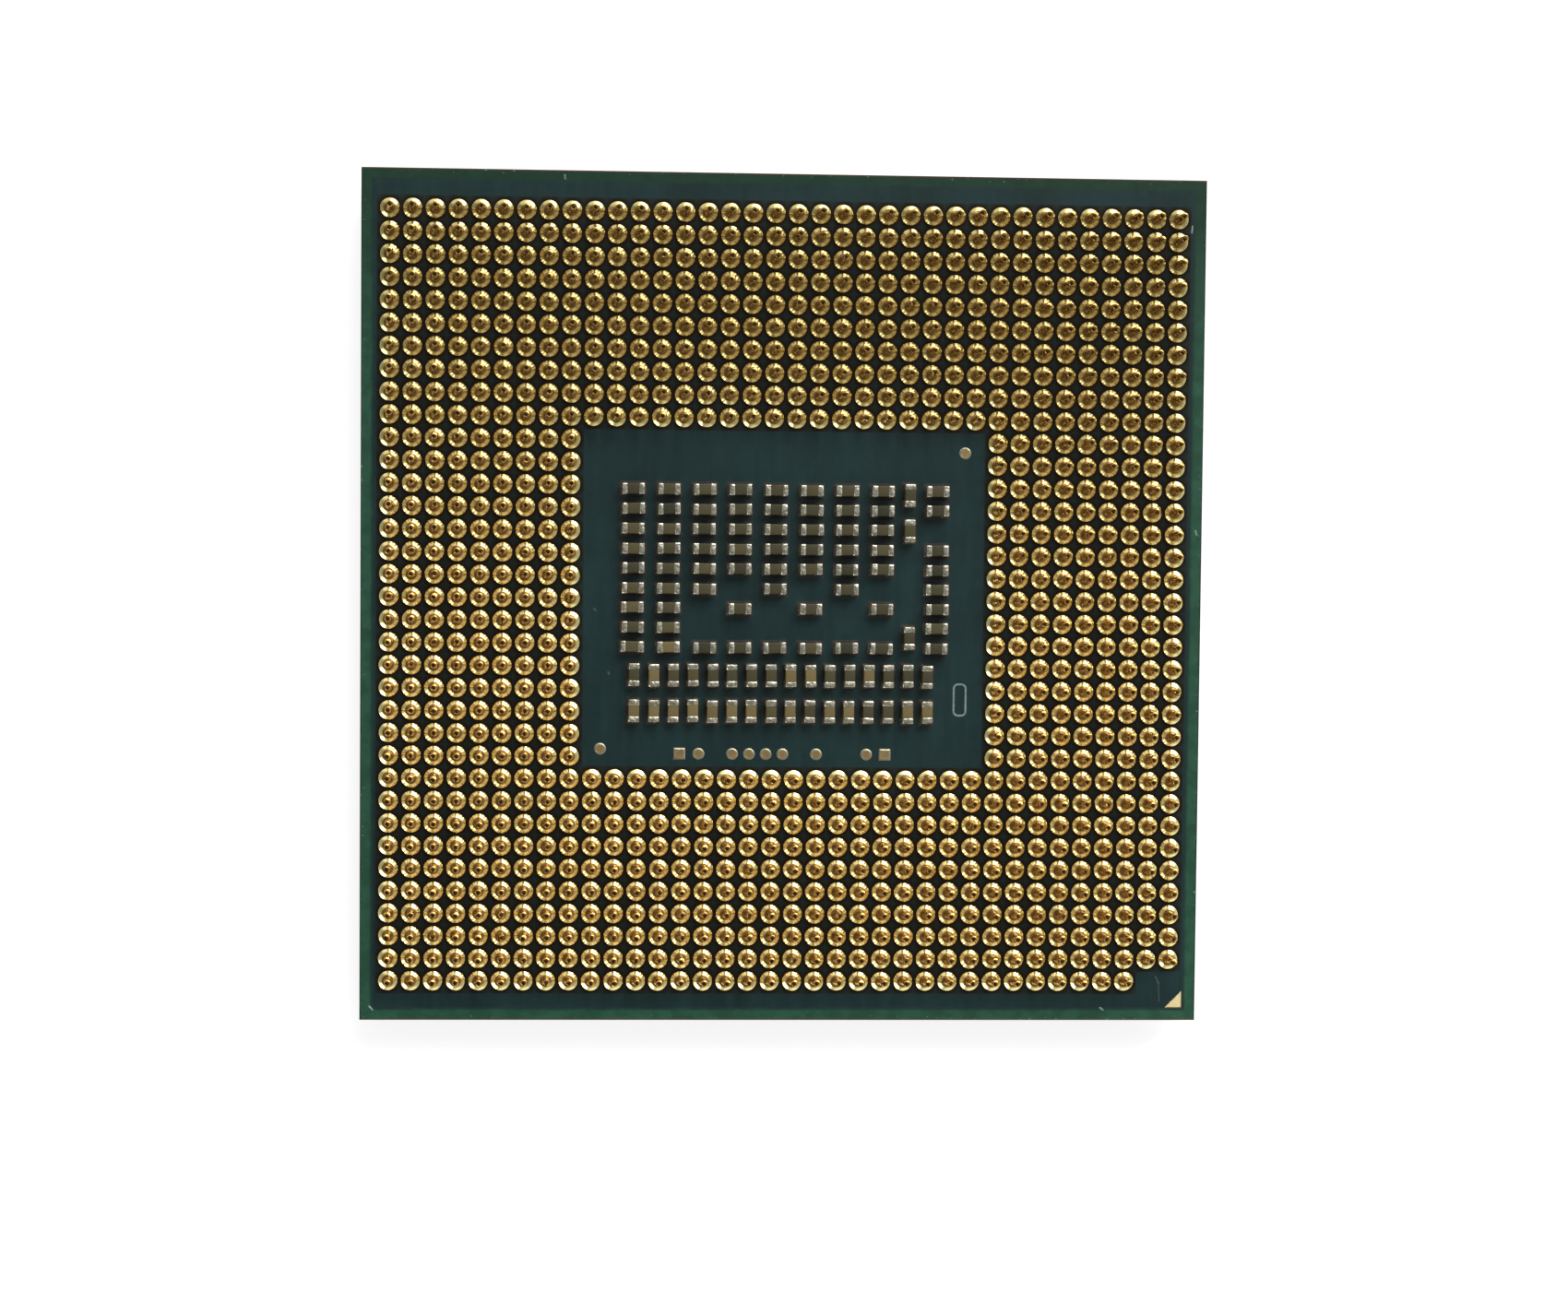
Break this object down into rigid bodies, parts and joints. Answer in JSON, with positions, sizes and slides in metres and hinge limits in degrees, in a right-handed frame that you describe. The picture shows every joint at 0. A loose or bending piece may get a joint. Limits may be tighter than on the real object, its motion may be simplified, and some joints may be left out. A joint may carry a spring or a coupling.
{
  "type": "pin grid array processor",
  "caption": "Bare-die computer processor: a square layered board with a grid of short pins and a capacitor-filled cavity on one side, and a flat silicon chip on the other.",
  "frame": {"origin": "middle of the silicon chip's back face, which is the lowest face and lies under the middle of the square board", "axes": "+Z from the chip towards the pin tips, +X along the rows of 36 pins, +Y along the columns of 35 pins; the corner with two pins missing is at +X, -Y"},
  "size_m": [0.0376, 0.0376, 0.0033],
  "materials": {
    "glass_fibre_resin": "matte",
    "build_up_resin": "matte",
    "copper": "satin",
    "solder_mask": "satin",
    "gold_plated_pins": "satin",
    "gold_plated_pads": "satin",
    "capacitor": "satin",
    "silicon": "polished",
    "solder": "satin",
    "underfill_resin": "satin"
  },
  "bodies": {
    "root": {"glass_fibre_core": "glass_fibre_resin", "core_copper_pin_side": "copper", "core_copper_die_side": "copper", "build_up_layer_pin_side": "build_up_resin", "build_up_layer_die_side": "build_up_resin", "copper_plane_pin_side": "copper", "copper_plane_die_side": "copper", "solder_mask_pin_side": "solder_mask", "solder_mask_die_side": "solder_mask", "pins_left": "gold_plated_pins", "pins_lower_left": "gold_plated_pins", "pins_lower_middle": "gold_plated_pins", "pins_lower_right": "gold_plated_pins", "pins_right": "gold_plated_pins", "pins_upper_left": "gold_plated_pins", "pins_upper_middle": "gold_plated_pins", "pins_upper_right": "gold_plated_pins", "capacitor_column_3_lone_1": "capacitor", "capacitor_column_4_lone_1": "capacitor", "capacitor_column_4_lone_2": "capacitor", "capacitor_column_5_lone_1": "capacitor", "capacitor_column_6_lone_1": "capacitor", "capacitor_column_6_lone_2": "capacitor", "capacitor_column_7_lone_1": "capacitor", "capacitor_column_8_lone_1": "capacitor", "capacitor_column_8_lone_2": "capacitor", "capacitor_upright_1": "capacitor", "capacitor_upright_2": "capacitor", "capacitor_upright_3": "capacitor", "capacitors_column_1": "capacitor", "capacitors_column_2": "capacitor", "capacitors_column_3": "capacitor", "capacitors_column_4": "capacitor", "capacitors_column_5": "capacitor", "capacitors_column_6": "capacitor", "capacitors_column_7": "capacitor", "capacitors_column_8": "capacitor", "capacitors_lower_row": "capacitor", "capacitors_right_lower": "capacitor", "capacitors_right_upper": "capacitor", "capacitors_upper_row": "capacitor", "square_test_pad_left": "gold_plated_pads", "square_test_pad_right": "gold_plated_pads", "round_test_pad_1": "gold_plated_pads", "round_test_pad_2": "gold_plated_pads", "round_test_pad_3": "gold_plated_pads", "round_test_pad_4": "gold_plated_pads", "round_test_pad_5": "gold_plated_pads", "round_test_pad_6": "gold_plated_pads", "round_test_pad_7": "gold_plated_pads", "fiducial_lower_left": "gold_plated_pads", "fiducial_upper_right": "gold_plated_pads", "pin_one_triangle": "gold_plated_pads", "pin_one_triangle_die_side": "gold_plated_pads", "silicon_die": "silicon", "solder_bump_layer": "solder", "underfill_fillet": "underfill_resin"}
  },
  "joints": []
}
